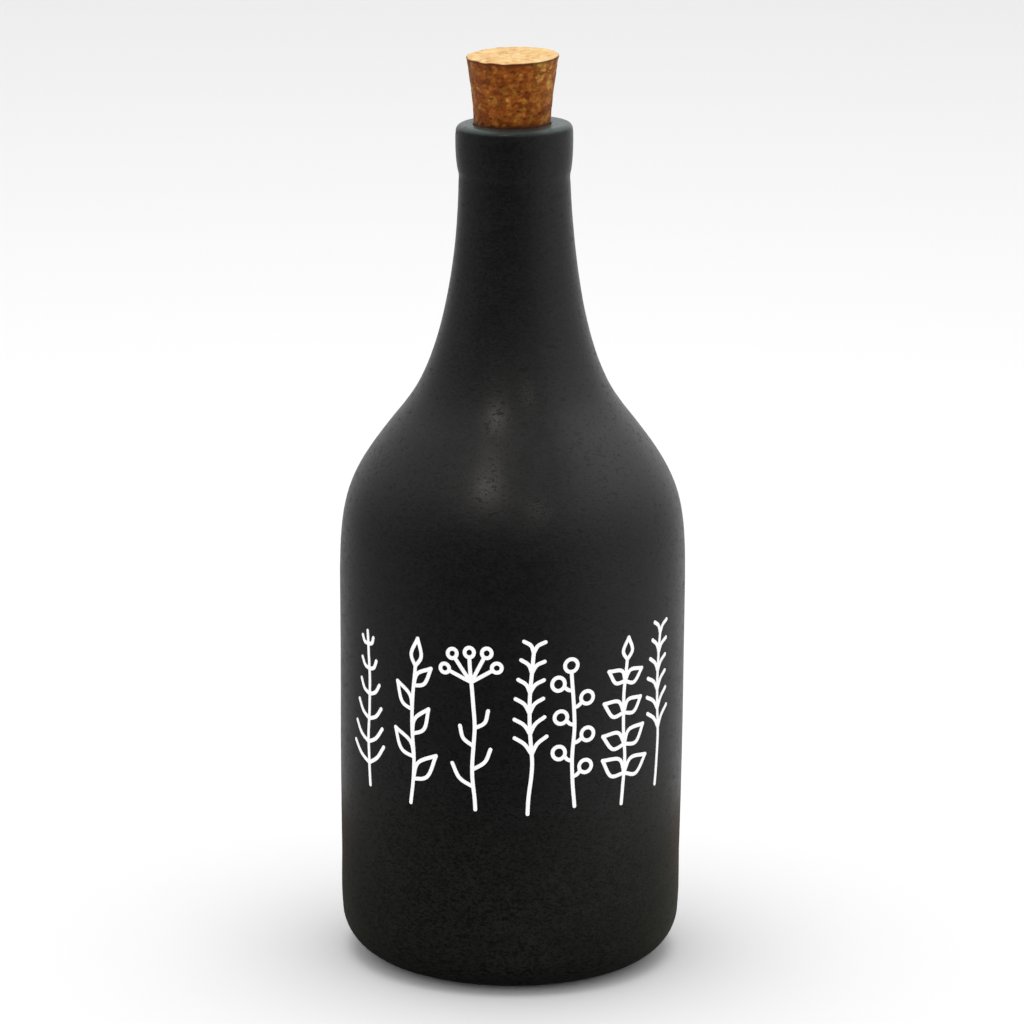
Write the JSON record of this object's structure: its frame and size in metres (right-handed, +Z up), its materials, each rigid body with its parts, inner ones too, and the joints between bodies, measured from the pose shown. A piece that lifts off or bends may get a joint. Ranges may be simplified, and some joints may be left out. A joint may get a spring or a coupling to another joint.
{
  "type": "stoneware vinegar bottle",
  "caption": "Shut stoneware bottle for vinegar: round straight-sided body, sloping shoulder, long narrow neck with a thickened lip, closed by a tapered cork.",
  "frame": {"origin": "centre of the flat foot ring that the bottle stands on", "axes": "+Z up along the bottle's axis, -Y towards the front with the print, +X to the right seen from the front"},
  "size_m": [0.0952, 0.0952, 0.2532],
  "materials": {
    "stoneware": "matte black stoneware, finely speckled and pitted",
    "cork": "matte granulated cork with dark pits",
    "print": "thin matte white line print"
  },
  "bodies": {
    "root": {"bottle": "stoneware", "cork": "cork"}
  },
  "joints": []
}
